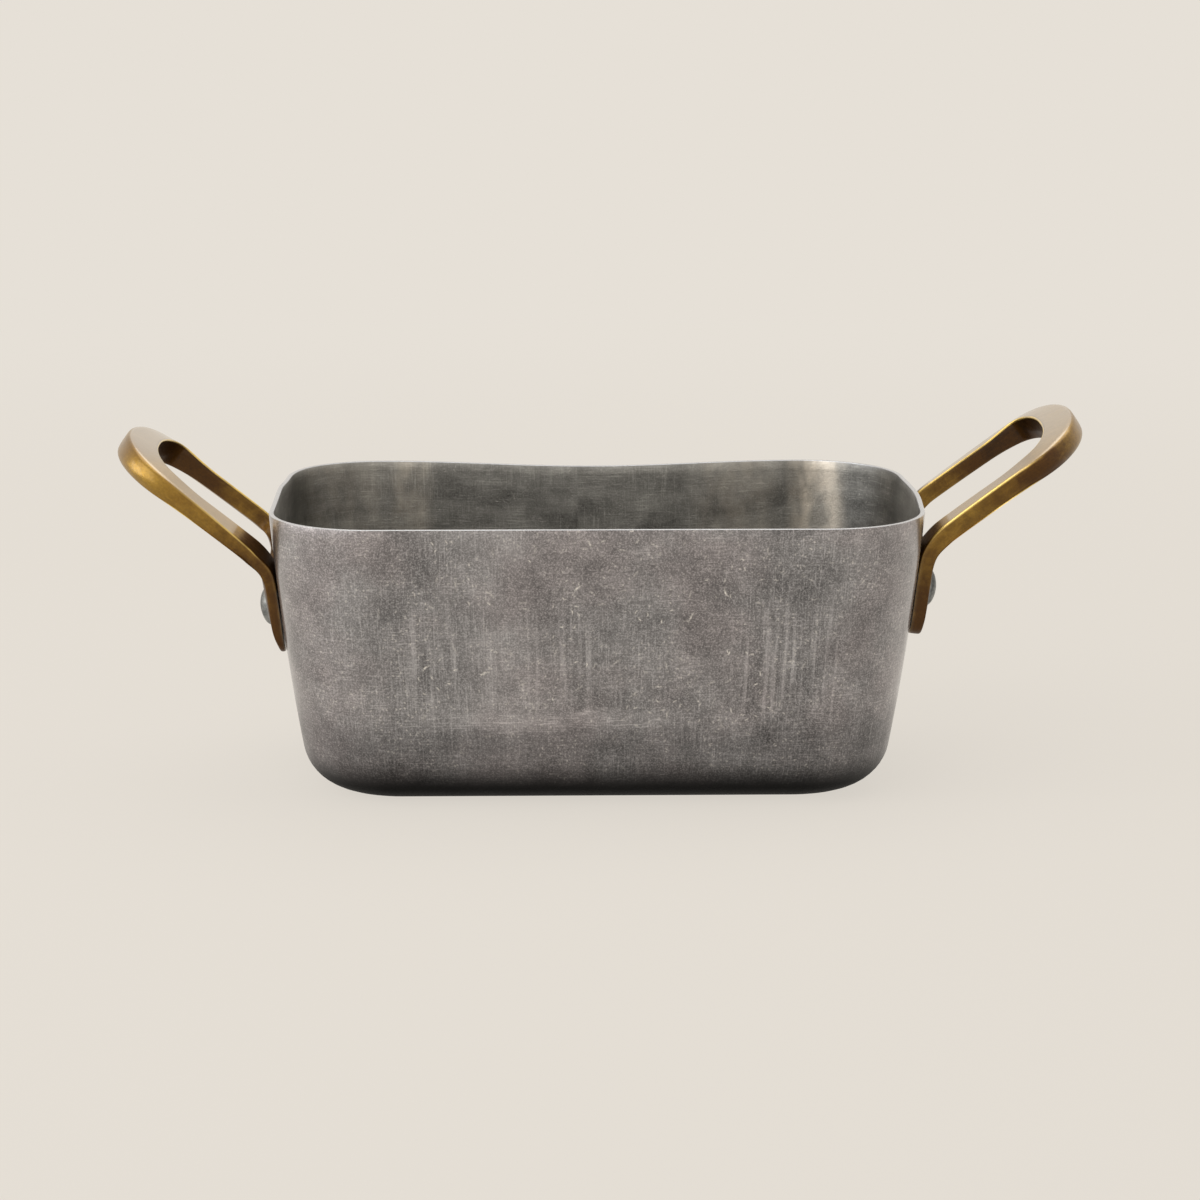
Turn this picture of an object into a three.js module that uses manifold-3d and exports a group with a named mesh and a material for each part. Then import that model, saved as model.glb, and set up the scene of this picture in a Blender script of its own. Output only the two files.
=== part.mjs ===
import * as THREE from 'three';
import { mergeVertices } from 'three/addons/utils/BufferGeometryUtils.js';
import Module from 'manifold-3d';

const wasm = await Module();
wasm.setup();

// Pan sizes, in millimetres and degrees
const rimLength = 145; // outside, along X
const rimWidth = 90; // outside, along Y
const panHeight = 63.6;
const sheet = 1.1; // thickness of the steel
const rimCorner = 23; // plan radius of the corners at the rim
const baseCorner = 11; // plan radius of the corners of the flat base
const wallDraft = 4.6; // lean of the walls at the rim
const wallBelly = 3.6; // how much further in the wall line runs by base level
const baseBend = 12.5; // radius between the walls and the base
const rearDip = 1.3; // sag of the rear rim at mid length

// Handle casting sizes
const handleWidth = 42; // across the loop, along Y
const tabBelow = 5.4; // tab from the rivet heads down to its foot
const tabAbove = 3.6; // tab from the rivet heads up to the bend
const tabCorner = 4; // radius of the two lower corners
const bendRadius = 11.8; // on the upper face
const legThickness = 5; // where the legs leave the bend
const legWidth = 4.5;
const legCurl = 4; // angle by which the legs flatten towards the tip
const tipLength = 14.5; // rounded end of the outline
const tipWidth = 7.5; // bar across the tip
const holeTip = 7; // rounded outer end of the finger hole
const holeFoot = 9.5; // rounded lower end of the finger hole
const holeStart = 0.8; // from the tab up to the finger hole
const tipFullness = 2.3; // shape of the rounded ends at the tip: 2 is an ellipse, more is squarer
const footFullness = 3; // the same, at the lower end of the finger hole
const castEdge = 0.8; // rounding of the casting's edges
const edgeShare = 0.4; // the most of a thickness that one rounded edge may take

// Rivet sizes
const rivetInset = 8.5; // from the side of the tab to a rivet's centre
const shankDiameter = 4.2;
const headDiameter = 9;
const outerDome = 2.2; // height of the head on the handle
const innerDome = 1.4; // height of the head inside the pan

// Gap left between neighbouring pieces
const clearance = 0.3;

// Each handle was finished and fitted by hand, so these sizes differ from side to side
const leftDrop = 22.7; // rivet line below the rim
const rightDrop = 18.5;
const leftTilt = -0.3; // turn of the handle on its wall
const rightTilt = 2.4;
const leftTab = 2.3; // thickness of the tab
const rightTab = 3.1;
const leftTaper = 1; // how much thinner the tab gets at its foot
const rightTaper = 0.3;
const leftTip = 5.5; // thickness at the tip
const rightTip = 5.3;
const leftBend = 44; // angle from the tab to the legs
const rightBend = 46.2;
const leftLegs = 36.4; // length from the bend to the tip
const rightLegs = 37.9;
const handleSets = [
  {
    side: 'left',
    turn: 180,
    drop: leftDrop,
    tilt: leftTilt,
    tab: leftTab,
    taper: leftTaper,
    tip: leftTip,
    bend: leftBend,
    legs: leftLegs,
  },
  {
    side: 'right',
    turn: 0,
    drop: rightDrop,
    tilt: rightTilt,
    tab: rightTab,
    taper: rightTaper,
    tip: rightTip,
    bend: rightBend,
    legs: rightLegs,
  },
];

// How finely curves are divided
const panSteps = { corner: 8, long: 10, short: 6, wall: 6, bend: 6 };
const castSteps = { side: 9, corner: 3, foot: 8, leg: 4, tip: 14, face: 6, edge: 2 };
const rivetSteps = { round: 20, dome: 4 };

// What follows from these sizes
const tabHeight = tabBelow + headDiameter + tabAbove;
const rivetRise = tabBelow + headDiameter / 2; // rivet line above the foot of the tab
const rivetAcross = handleWidth / 2 - rivetInset; // rivet from the middle of the handle
const radians = THREE.MathUtils.degToRad;

// Materials
function steel() {
  return new THREE.MeshStandardMaterial({ color: 0x777370, roughness: 0.42, metalness: 1 });
}

function brass() {
  return new THREE.MeshStandardMaterial({ color: 0x9a7434, roughness: 0.32, metalness: 1 });
}

function rivetSteel() {
  return new THREE.MeshStandardMaterial({ color: 0x8b8e93, roughness: 0.35, metalness: 1 });
}

// Boolean work
function toSolid(geometry) {
  const bare = geometry.clone();
  bare.deleteAttribute('normal');
  bare.deleteAttribute('uv');
  const merged = mergeVertices(bare);
  return new wasm.Manifold(new wasm.Mesh({
    numProp: 3,
    vertProperties: new Float32Array(merged.attributes.position.array),
    triVerts: new Uint32Array(merged.index.array),
  }));
}

function toGeometry(solid) {
  const mesh = solid.getMesh();
  const geometry = new THREE.BufferGeometry();
  geometry.setAttribute('position', new THREE.BufferAttribute(mesh.vertProperties, 3));
  geometry.setIndex(new THREE.BufferAttribute(mesh.triVerts, 1));
  return geometry;
}

function drill(geometry, cutters) {
  let solid = toSolid(geometry);
  for (const cutter of cutters) {
    solid = solid.subtract(toSolid(cutter));
  }
  return toGeometry(solid);
}

// A surface through rows of points, each row closed on itself
function loft(rows, closed) {
  const count = rows[0].length;
  const index = [];
  const last = closed ? rows.length : rows.length - 1;
  for (let row = 0; row < last; row += 1) {
    const next = (row + 1) % rows.length;
    for (let at = 0; at < count; at += 1) {
      const after = (at + 1) % count;
      const [a, b] = [row * count + at, row * count + after];
      const [c, d] = [next * count + after, next * count + at];
      index.push(a, b, c, a, c, d);
    }
  }
  if (!closed) {
    const top = (rows.length - 1) * count;
    const flat = (row) => row.map((point) => new THREE.Vector2(point.x, point.y));
    for (const [a, b, c] of THREE.ShapeUtils.triangulateShape(flat(rows[0]), [])) {
      index.push(a, c, b);
    }
    for (const [a, b, c] of THREE.ShapeUtils.triangulateShape(flat(rows.at(-1)), [])) {
      index.push(top + a, top + b, top + c);
    }
  }
  const geometry = new THREE.BufferGeometry().setFromPoints(rows.flat());
  geometry.setIndex(index);
  return geometry;
}

// Pan walls: inset from the rim line and lean from upright, at a height
function wallInset(z) {
  const down = panHeight - z;
  return Math.tan(radians(wallDraft)) * down + wallBelly * (down / panHeight) ** 2;
}

function wallLean(z) {
  const down = panHeight - z;
  return Math.atan(Math.tan(radians(wallDraft)) + (2 * wallBelly * down) / panHeight ** 2);
}

// Height at which the base bend runs into the wall
function bendTop() {
  let z = baseBend;
  for (let turn = 0; turn < 20; turn += 1) {
    z = baseBend * (1 - Math.sin(wallLean(z)));
  }
  return z;
}

// Outer profile from the base up: inset, height and lean of the surface there
function panProfile() {
  const profile = [];
  const start = bendTop();
  const lean = wallLean(start);
  const centre = wallInset(start) + baseBend * Math.cos(lean);
  for (let step = 0; step < panSteps.bend; step += 1) {
    const angle = THREE.MathUtils.lerp(Math.PI / 2, lean, step / panSteps.bend);
    const inset = centre - baseBend * Math.cos(angle);
    profile.push({ inset, z: baseBend * (1 - Math.sin(angle)), lean: angle });
  }
  for (let step = 0; step <= panSteps.wall; step += 1) {
    const z = THREE.MathUtils.lerp(start, panHeight, step / panSteps.wall);
    profile.push({ inset: wallInset(z), z, lean: wallLean(z) });
  }
  return profile;
}

function sag(x, y, z) {
  const reach = rimLength / 2 - rimCorner;
  if (y < 0 || Math.abs(x) > reach) {
    return 0;
  }
  const share = Math.max(0, (z - bendTop()) / (panHeight - bendTop()));
  return rearDip * share * Math.cos((Math.PI * x) / (2 * reach)) ** 2;
}

// One level of the pan: a rectangle with rounded corners
function panRow(inset, radius, z) {
  const halfX = rimLength / 2 - inset;
  const halfY = rimWidth / 2 - inset;
  const corners = [[1, 1], [-1, 1], [-1, -1], [1, -1]];
  const row = [];
  corners.forEach(([signX, signY], corner) => {
    const begin = (corner * Math.PI) / 2;
    for (let step = 0; step <= panSteps.corner; step += 1) {
      const angle = begin + (step / panSteps.corner) * (Math.PI / 2);
      const x = signX * (halfX - radius) + radius * Math.cos(angle);
      const y = signY * (halfY - radius) + radius * Math.sin(angle);
      row.push(new THREE.Vector3(x, y, z));
    }
    const from = row.at(-1);
    const [nextX, nextY] = corners[(corner + 1) % 4];
    const alongX = corner % 2 === 0;
    const toX = alongX ? nextX * (halfX - radius) : nextX * halfX;
    const toY = alongX ? nextY * halfY : nextY * (halfY - radius);
    const steps = alongX ? panSteps.long : panSteps.short;
    for (let step = 1; step < steps; step += 1) {
      row.push(from.clone().lerp(new THREE.Vector3(toX, toY, z), step / steps));
    }
  });
  return row.map((point) => point.setZ(z - sag(point.x, point.y, z)));
}

// Plan radius of the corners where the wall has come in by an inset
function cornerAt(inset) {
  const flatInset = panProfile()[0].inset;
  return rimCorner - (rimCorner - baseCorner) * (inset / flatInset);
}

// How far an end wall has curved away towards its corners, at a height and a distance from its middle
function wallFall(z, across) {
  const inset = wallInset(z);
  const radius = cornerAt(inset);
  const past = Math.max(0, across - (rimWidth / 2 - inset - radius));
  return radius - Math.sqrt(radius ** 2 - Math.min(past, radius) ** 2);
}

function panGeometry() {
  const profile = panProfile();
  const outer = profile.map(({ inset, z }) => panRow(inset, cornerAt(inset), z));
  const inner = profile.map(({ inset, z, lean }) => {
    const across = z === panHeight ? sheet / Math.cos(lean) : sheet * Math.cos(lean);
    const height = Math.min(panHeight, z + sheet * Math.sin(lean));
    return panRow(inset + across, cornerAt(inset) - across, height);
  });
  return loft([...outer, ...inner.reverse()], false);
}

// Points along joined curves, each curve without its last point
function curvePoints(curves) {
  return curves.flatMap(([curve, steps]) => curve.getPoints(steps).slice(0, -1));
}

// Rounded end of the outline or of the hole, from one angle to another
function roundedEnd(halfWidth, length, base, fullness, from, to, steps) {
  const points = [];
  const power = (value) => Math.sign(value) * Math.abs(value) ** (2 / fullness);
  for (let step = 0; step < steps; step += 1) {
    const angle = THREE.MathUtils.lerp(from, to, step / steps);
    const across = halfWidth * power(Math.cos(angle));
    points.push(new THREE.Vector2(across, base + length * power(Math.sin(angle))));
  }
  return points;
}

// Outline and finger hole of the casting laid flat, point by point: x across, y up from the foot
function handleOutlines({ bend, legs }) {
  const half = handleWidth / 2;
  const holeHalf = half - legWidth;
  const length = tabHeight + bendRadius * radians(bend) + legs;
  const low = tabHeight + holeStart + holeFoot;
  const high = length - tipLength;
  const holeHigh = length - tipWidth - holeTip;
  const quarter = Math.PI / 2;
  const footSteps = 2 * (castSteps.side + castSteps.corner) + castSteps.foot;
  const line = (x1, y1, x2, y2) => {
    return new THREE.LineCurve(new THREE.Vector2(x1, y1), new THREE.Vector2(x2, y2));
  };
  const corner = (x, from) => {
    return new THREE.EllipseCurve(x, tabCorner, tabCorner, tabCorner, from, from + quarter);
  };
  const outer = [
    ...curvePoints([
      [line(-half, low, -half, tabCorner), castSteps.side],
      [corner(tabCorner - half, 2 * quarter), castSteps.corner],
      [line(tabCorner - half, 0, half - tabCorner, 0), castSteps.foot],
      [corner(half - tabCorner, 3 * quarter), castSteps.corner],
      [line(half, tabCorner, half, low), castSteps.side],
      [line(half, low, half, high), castSteps.leg],
    ]),
    ...roundedEnd(half, tipLength, high, tipFullness, 0, 2 * quarter, castSteps.tip),
    ...curvePoints([[line(-half, high, -half, low), castSteps.leg]]),
  ];
  const hole = [
    ...roundedEnd(holeHalf, holeFoot, low, footFullness, 2 * quarter, 4 * quarter, footSteps),
    ...curvePoints([[line(holeHalf, low, holeHalf, holeHigh), castSteps.leg]]),
    ...roundedEnd(holeHalf, holeTip, holeHigh, tipFullness, 0, 2 * quarter, castSteps.tip),
    ...curvePoints([[line(-holeHalf, holeHigh, -holeHalf, low), castSteps.leg]]),
  ];
  return outer.map((point, at) => [point, hole[at]]);
}

// Side line of the casting's upper face: the tab, the bend, then the gently curled legs
function sideLine(along, { bend, tab, taper, tip, legs }) {
  const arc = bendRadius * radians(bend);
  const turned = THREE.MathUtils.clamp((along - tabHeight) / bendRadius, 0, radians(bend));
  const past = Math.max(0, along - tabHeight - arc);
  const curl = (radians(legCurl) * past) / legs;
  const heading = Math.PI / 2 - turned - curl / 2;
  const straight = Math.min(along, tabHeight) - rivetRise;
  const foot = 1 - THREE.MathUtils.smoothstep(along, 0, rivetRise - headDiameter / 2);
  const swell = THREE.MathUtils.smoothstep(along, tabHeight - tabAbove, tabHeight + arc / 2);
  const leg = THREE.MathUtils.lerp(legThickness, tip, past / legs);
  return {
    x: clearance + bendRadius * (1 - Math.cos(turned)) + past * Math.cos(heading),
    z: straight + bendRadius * Math.sin(turned) + past * Math.sin(heading),
    heading: Math.PI / 2 - turned - curl,
    thickness: THREE.MathUtils.lerp(tab, leg, swell) - taper * foot,
  };
}

// Section of the casting from its outer edge to the hole, with rounded edges: across and down
function sectionLoop(width, thickness) {
  const edge = Math.min(castEdge, edgeShare * thickness);
  const roundings = [[1, 0, -90], [1, 1, 0], [0, 1, 90], [0, 0, 180]];
  const loop = [];
  roundings.forEach(([across, down, begin], corner) => {
    for (let step = 0; step <= castSteps.edge; step += 1) {
      const angle = radians(begin + (90 * step) / castSteps.edge);
      loop.push([
        across * (width - 2 * edge) + edge * (1 + Math.cos(angle)),
        down * (thickness - 2 * edge) + edge * (1 + Math.sin(angle)),
      ]);
    }
    if (corner % 2 === 1) {
      const [from, level] = loop.at(-1);
      const to = corner === 1 ? edge : width - edge;
      for (let step = 1; step < castSteps.face; step += 1) {
        loop.push([THREE.MathUtils.lerp(from, to, step / castSteps.face), level]);
      }
    }
  });
  return loop;
}

function handleGeometry(set) {
  const rows = handleOutlines(set).map(([outer, hole]) => {
    const width = outer.distanceTo(hole);
    const middle = outer.clone().lerp(hole, 0.5);
    const { thickness } = sideLine(middle.y, set);
    return sectionLoop(width, thickness).map(([across, down]) => {
      const flat = outer.clone().lerp(hole, across / width);
      const line = sideLine(flat.y, set);
      const depth = (down / thickness) * line.thickness;
      const x = line.x + depth * Math.sin(line.heading);
      const z = line.z - depth * Math.cos(line.heading);
      return new THREE.Vector3(x, flat.x, z);
    });
  });
  return loft(rows, true);
}

// Rivet, along X: low domed heads and a shank through the wall and the tab
function headCurve(height) {
  const points = [];
  for (let step = 0; step <= rivetSteps.dome; step += 1) {
    const angle = (step / rivetSteps.dome) * (Math.PI / 2);
    points.push(new THREE.Vector2((headDiameter / 2) * Math.cos(angle), height * Math.sin(angle)));
  }
  return points;
}

function rivetGeometry({ drop, tab }) {
  const fall = wallFall(panHeight - drop, rivetAcross + headDiameter / 2);
  const innerSeat = -sheet - clearance - fall;
  const outerSeat = 2 * clearance + tab;
  const inner = headCurve(innerDome).reverse().map(({ x, y }) => new THREE.Vector2(x, innerSeat - y));
  const outer = headCurve(outerDome).map(({ x, y }) => new THREE.Vector2(x, outerSeat + y));
  const shank = [
    new THREE.Vector2(shankDiameter / 2, innerSeat),
    new THREE.Vector2(shankDiameter / 2, outerSeat),
  ];
  const profile = [...inner, ...shank, ...outer];
  return new THREE.LatheGeometry(profile, rivetSteps.round).rotateZ(-Math.PI / 2);
}

// Cylinder that drills the tab and the wall for a rivet
function holeCutter({ tab }) {
  const radius = shankDiameter / 2 + clearance;
  const length = 2 * (headDiameter + sheet + tab);
  return new THREE.CylinderGeometry(radius, radius, length, rivetSteps.round).rotateZ(-Math.PI / 2);
}

// Place of a handle: out from the end wall at its rivet line, leaning with the wall
function handlePlace({ turn, drop, tilt }) {
  const z = panHeight - drop;
  const out = rimLength / 2 - wallInset(z);
  const facing = radians(turn);
  const place = new THREE.Group();
  place.position.set(out * Math.cos(facing), out * Math.sin(facing), z);
  place.rotation.set(radians(tilt), wallLean(z), facing, 'ZYX');
  place.updateMatrix();
  return place;
}

function named(name, geometry, material) {
  const faceted = geometry.toNonIndexed();
  faceted.computeVertexNormals();
  const mesh = new THREE.Mesh(faceted, material);
  mesh.name = name;
  return mesh;
}

const pan = new THREE.Group();
const wallHoles = [];
for (const set of handleSets) {
  const place = handlePlace(set);
  const front = set.turn === 0 ? -rivetAcross : rivetAcross;
  const spots = [['front', front], ['rear', -front]];
  const tabHoles = spots.map(([, across]) => holeCutter(set).translate(0, across, 0));
  place.add(named(`${set.side}_handle`, drill(handleGeometry(set), tabHoles), brass()));
  for (const [spot, across] of spots) {
    const rivet = named(`rivet_${set.side}_${spot}`, rivetGeometry(set), rivetSteel());
    rivet.position.y = across;
    place.add(rivet);
  }
  wallHoles.push(...tabHoles.map((cutter) => cutter.clone().applyMatrix4(place.matrix)));
  pan.add(place);
}
pan.add(named('pan_body', drill(panGeometry(), wallHoles), steel()));

export default pan;
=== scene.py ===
import math
import bmesh
import bpy
import numpy as np
from mathutils import Matrix, Quaternion, Vector, noise


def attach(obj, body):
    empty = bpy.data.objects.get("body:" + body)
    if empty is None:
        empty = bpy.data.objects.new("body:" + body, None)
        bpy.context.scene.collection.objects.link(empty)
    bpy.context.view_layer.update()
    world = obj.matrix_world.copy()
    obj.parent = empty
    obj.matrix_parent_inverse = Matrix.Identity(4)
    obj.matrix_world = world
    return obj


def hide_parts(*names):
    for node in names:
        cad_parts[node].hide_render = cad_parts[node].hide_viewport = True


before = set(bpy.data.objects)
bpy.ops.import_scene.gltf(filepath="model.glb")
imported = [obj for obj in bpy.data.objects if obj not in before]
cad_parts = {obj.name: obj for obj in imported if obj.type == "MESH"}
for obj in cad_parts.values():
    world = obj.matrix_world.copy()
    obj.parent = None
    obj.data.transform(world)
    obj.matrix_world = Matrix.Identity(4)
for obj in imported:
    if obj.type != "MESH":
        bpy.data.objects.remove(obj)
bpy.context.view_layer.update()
mm = 0.001
smoothAngle, sharpAngle = 35, 50  # degrees: shaded smooth up to the first, eased from the second on
print("frame loaded with", len(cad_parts), "nodes")


# Camera at the photograph's view: distance and angles to the point in the middle of the picture
cameraSet = {
    "distance": 802.371,
    "elevation": 11.909,
    "yaw": 1.542,
    "roll": 0.112,
    "middle": (1.202, -0.03, 38.775),
    "frameWidth": 274.22,  # what the frame takes in at that distance
}


def makeCamera():
    rise, turn = math.radians(cameraSet["elevation"]), math.radians(cameraSet["yaw"])
    back = Vector((-math.sin(turn) * math.cos(rise), -math.cos(turn) * math.cos(rise), math.sin(rise)))
    place = (Vector(cameraSet["middle"]) + back * cameraSet["distance"]) * mm
    bpy.ops.object.camera_add(location=place)
    camera = bpy.context.object
    camera.name = "photoCamera"
    camera.rotation_mode = "QUATERNION"
    roll = Quaternion((0, 0, 1), math.radians(cameraSet["roll"]))
    camera.rotation_quaternion = (-back).to_track_quat("-Z", "Y") @ roll
    camera.data.lens = camera.data.sensor_width * cameraSet["distance"] / cameraSet["frameWidth"]
    camera.data.clip_start, camera.data.clip_end = 0.01, 50
    bpy.context.scene.camera = camera


makeCamera()
print("camera placed")


# Small helpers for modelling
def leaveEdit():
    bpy.ops.object.mode_set(mode="OBJECT")


def clearPick():
    if bpy.context.object and bpy.context.object.mode != "OBJECT":
        leaveEdit()
    bpy.ops.object.select_all(action="DESELECT")


def onlyPick(piece):
    clearPick()
    piece.select_set(True)
    bpy.context.view_layer.objects.active = piece


def faceOut():
    bpy.ops.mesh.select_all(action="SELECT")
    bpy.ops.mesh.normals_make_consistent(inside=False)


def editPiece(name):
    piece = bpy.context.object
    piece.name = name
    piece.data.name = name
    bpy.ops.object.mode_set(mode="EDIT")
    return piece


def pickParts(piece, kind, test):
    bpy.ops.mesh.select_mode(type=kind)
    bpy.ops.mesh.select_all(action="DESELECT")
    shape = bmesh.from_edit_mesh(piece.data)
    for part in shape.edges if kind == "EDGE" else shape.faces:
        if test(part):
            part.select_set(True)
    shape.select_flush_mode()
    bmesh.update_edit_mesh(piece.data)


def useModifier(piece, kind, **settings):
    onlyPick(piece)
    modifier = piece.modifiers.new(kind.lower(), kind)
    for key, value in settings.items():
        setattr(modifier, key, value)
    bpy.ops.object.modifier_apply(modifier=modifier.name)


def smoothStep(value, low, high):
    share = np.clip((value - low) / (high - low), 0, 1)
    return share * share * (3 - 2 * share)


def mix(first, second, share):
    return first + (second - first) * share


def pointValues(piece, name):
    values = np.zeros(len(piece.data.vertices))
    piece.data.attributes[name].data.foreach_get("value", values)
    return values


def keepPoints(piece, name, values):
    layer = piece.data.attributes.new(name, "FLOAT", "POINT")
    layer.data.foreach_set("value", np.asarray(values, np.float32))


# How sharply the surface curves outwards at each point, in 1/mm, for worn edges
def edgeCurve(piece):
    mesh = piece.data
    count = len(mesh.vertices)
    places, normals = np.zeros(count * 3), np.zeros(count * 3)
    mesh.vertices.foreach_get("co", places)
    mesh.vertices.foreach_get("normal", normals)
    places, normals = places.reshape(-1, 3), normals.reshape(-1, 3)
    ends = np.zeros(len(mesh.edges) * 2, np.int32)
    mesh.edges.foreach_get("vertices", ends)
    first, second = ends.reshape(-1, 2).T
    along = places[second] - places[first]
    length = np.maximum(np.linalg.norm(along, axis=1), 1e-7)
    bend = np.einsum("ij,ij->i", normals[second] - normals[first], along) / length ** 2
    curve = np.zeros(count)
    np.maximum.at(curve, first, bend)
    np.maximum.at(curve, second, bend)
    return curve * mm


def finishPiece(piece, node, material):
    onlyPick(piece)
    bpy.ops.object.shade_smooth_by_angle(angle=math.radians(smoothAngle))
    piece.data.materials.clear()
    piece.data.materials.append(material)
    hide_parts(node)
    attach(piece, "root")


# Small helpers for materials
def tone(red, green, blue):
    parts = [part / 255 for part in (red, green, blue)]
    return (*[part / 12.92 if part < 0.04 else ((part + 0.055) / 1.055) ** 2.4 for part in parts], 1)


def feed(socket, value):
    if isinstance(value, bpy.types.NodeSocket):
        socket.id_data.links.new(value, socket)
    else:
        socket.default_value = value


# A node tree with short names for the nodes that are used here
class Net:
    def __init__(self, tree):
        self.tree = tree

    def add(self, kind, **settings):
        node = self.tree.nodes.new("ShaderNode" + kind)
        for key, value in settings.items():
            setattr(node, key, value)
        return node

    def math(self, operation, first, second=0.0):
        node = self.add("Math", operation=operation)
        feed(node.inputs[0], first)
        feed(node.inputs[1], second)
        return node.outputs[0]

    def times(self, *values):
        result = values[0]
        for value in values[1:]:
            result = self.math("MULTIPLY", result, value)
        return result

    def sum(self, *values):
        result = values[0]
        for value in values[1:]:
            result = self.math("ADD", result, value)
        return result

    # sum of pairs, each a layer and its share
    def layers(self, *pairs):
        return self.sum(*[self.times(layer, share) for layer, share in pairs])

    def rest(self, value):
        return self.math("SUBTRACT", 1.0, value)

    def range(self, value, low, high, toLow=0.0, toHigh=1.0):
        node = self.add("MapRange", interpolation_type="SMOOTHSTEP")
        for socket, number in zip(node.inputs, (value, low, high, toLow, toHigh)):
            feed(socket, number)
        return node.outputs[0]

    def vector(self, operation, first, second):
        node = self.add("VectorMath", operation=operation)
        feed(node.inputs[0], first)
        feed(node.inputs["Scale" if operation == "SCALE" else 1], second)
        return node.outputs[0]

    def parts(self, vector):
        node = self.add("SeparateXYZ")
        feed(node.inputs[0], vector)
        return node.outputs

    def noise(self, vector, scale, detail=2.0, rough=0.5, distort=0.0):
        node = self.add("TexNoise")
        labels = ("Vector", "Scale", "Detail", "Roughness", "Distortion")
        for label, value in zip(labels, (vector, scale, detail, rough, distort)):
            feed(node.inputs[label], value)
        return node.outputs[0]

    def mix(self, factor, first, second, blend="MIX"):
        node = self.add("Mix", data_type="RGBA", blend_type=blend)
        for number, value in ((0, factor), (6, first), (7, second)):
            feed(node.inputs[number], value)
        return node.outputs[2]

    def attribute(self, name, output="Fac"):
        return self.add("Attribute", attribute_name=name).outputs[output]

    def mask(self, effect, **values):
        node = self.add("Group", node_tree=effects[effect])
        for label, value in values.items():
            feed(node.inputs[label], value)
        return node.outputs["mask"]


# Node group with one mask as its output
def startGroup(name, **inputs):
    tree = bpy.data.node_groups.new(name, "ShaderNodeTree")
    for label, value in inputs.items():
        kind = "NodeSocketFloat" if isinstance(value, float) else "NodeSocketVector"
        socket = tree.interface.new_socket(name=label, in_out="INPUT", socket_type=kind)
        if value is not None:
            socket.default_value = value
    tree.interface.new_socket(name="mask", in_out="OUTPUT", socket_type="NodeSocketFloat")
    given = tree.nodes.new("NodeGroupInput").outputs
    return Net(tree), given, tree.nodes.new("NodeGroupOutput").inputs["mask"]


# Cloudy stains, from 0 to 1, of a size in metres
def makeStains():
    net, given, mask = startGroup("stains", vector=None, size=0.02, soft=0.2)
    cloud = net.noise(given["vector"], net.math("DIVIDE", 1.0, given["size"]), 4, 0.6, 0.3)
    low, high = net.math("SUBTRACT", 0.5, given["soft"]), net.sum(0.5, given["soft"])
    feed(mask, net.range(cloud, low, high))
    return net.tree


# Fine grain of tumbled or cast metal, from -1 to 1
def makeGrain():
    net, given, mask = startGroup("grain", vector=None, size=0.0005)
    speck = net.noise(given["vector"], net.math("DIVIDE", 1.0, given["size"]), 2.5, 0.65)
    feed(mask, net.range(speck, 0.25, 0.75, -1.0, 1.0))
    return net.tree


# Short curled nicks, each turned its own way, on a flat vector
def makeNicks():
    net, given, mask = startGroup("nicks", vector=None, size=0.006, length=0.22, width=0.02, amount=0.5)
    fullTurn, mostCurl = 6.283, 5.0
    flat = net.vector("MULTIPLY", given["vector"], (1, 1, 0))
    cells = net.vector("SCALE", flat, net.math("DIVIDE", 1.0, given["size"]))
    spots = net.add("TexVoronoi", voronoi_dimensions="2D")
    spots.inputs["Scale"].default_value = 1
    feed(spots.inputs["Vector"], cells)
    chance = net.add("SeparateColor")
    feed(chance.inputs[0], spots.outputs["Color"])
    turn = net.add("VectorRotate", rotation_type="Z_AXIS")
    feed(turn.inputs["Vector"], net.vector("SUBTRACT", cells, spots.outputs["Position"]))
    feed(turn.inputs["Angle"], net.times(chance.outputs[0], fullTurn))
    along, aside = net.parts(turn.outputs[0])[:2]
    curl = net.times(net.math("SUBTRACT", chance.outputs[1], 0.5), mostCurl)
    line = net.math("ABSOLUTE", net.sum(aside, net.times(along, along, curl)))
    thin = net.range(line, given["width"], 0.0)
    short = net.range(net.math("ABSOLUTE", along), given["length"], 0.0)
    some = net.math("LESS_THAN", chance.outputs[2], given["amount"])
    feed(mask, net.times(thin, short, some))
    return net.tree


# Long soft brush lines along one direction of a stretched vector
def makeBrushing():
    net, given, mask = startGroup("brushing", vector=None, stretch=(1, 1, 1), thin=0.12)
    lines = net.noise(net.vector("MULTIPLY", given["vector"], given["stretch"]), 1.0, 3, 0.55)
    feed(mask, net.range(lines, 0.5, net.sum(0.5, given["thin"])))
    return net.tree


# Worn edges, broken up so that they come and go
def makeWear():
    net, given, mask = startGroup("wear", vector=None, curve=0.0, low=0.3, high=1.0)
    edge = net.range(given["curve"], given["low"], given["high"])
    broken = net.range(net.noise(given["vector"], 140, 3, 0.6), 0.3, 0.6, 0.5, 1.0)
    feed(mask, net.times(edge, broken))
    return net.tree


effects = {
    "stains": makeStains(),
    "grain": makeGrain(),
    "nicks": makeNicks(),
    "brushing": makeBrushing(),
    "wear": makeWear(),
}


def startMetal(name):
    material = bpy.data.materials.new(name)
    material.use_nodes = True
    net = Net(material.node_tree)
    shader = net.tree.nodes["Principled BSDF"]
    shader.inputs["Metallic"].default_value = 1
    return material, net, shader, net.add("TexCoord").outputs["Object"]


def finishMetal(net, shader, own, colour, change, relief):
    feed(shader.inputs["Base Color"], colour)
    feed(shader.inputs["Roughness"], net.sum(own["roughness"], change))
    for label, value in own.get("haze", {}).items():
        shader.inputs[label].default_value = value
    bump = net.add("Bump")
    for label, value in (("Strength", 0.5), ("Distance", own["relief"]), ("Height", relief)):
        feed(bump.inputs[label], value)
    feed(shader.inputs["Normal"], bump.outputs[0])


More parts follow.
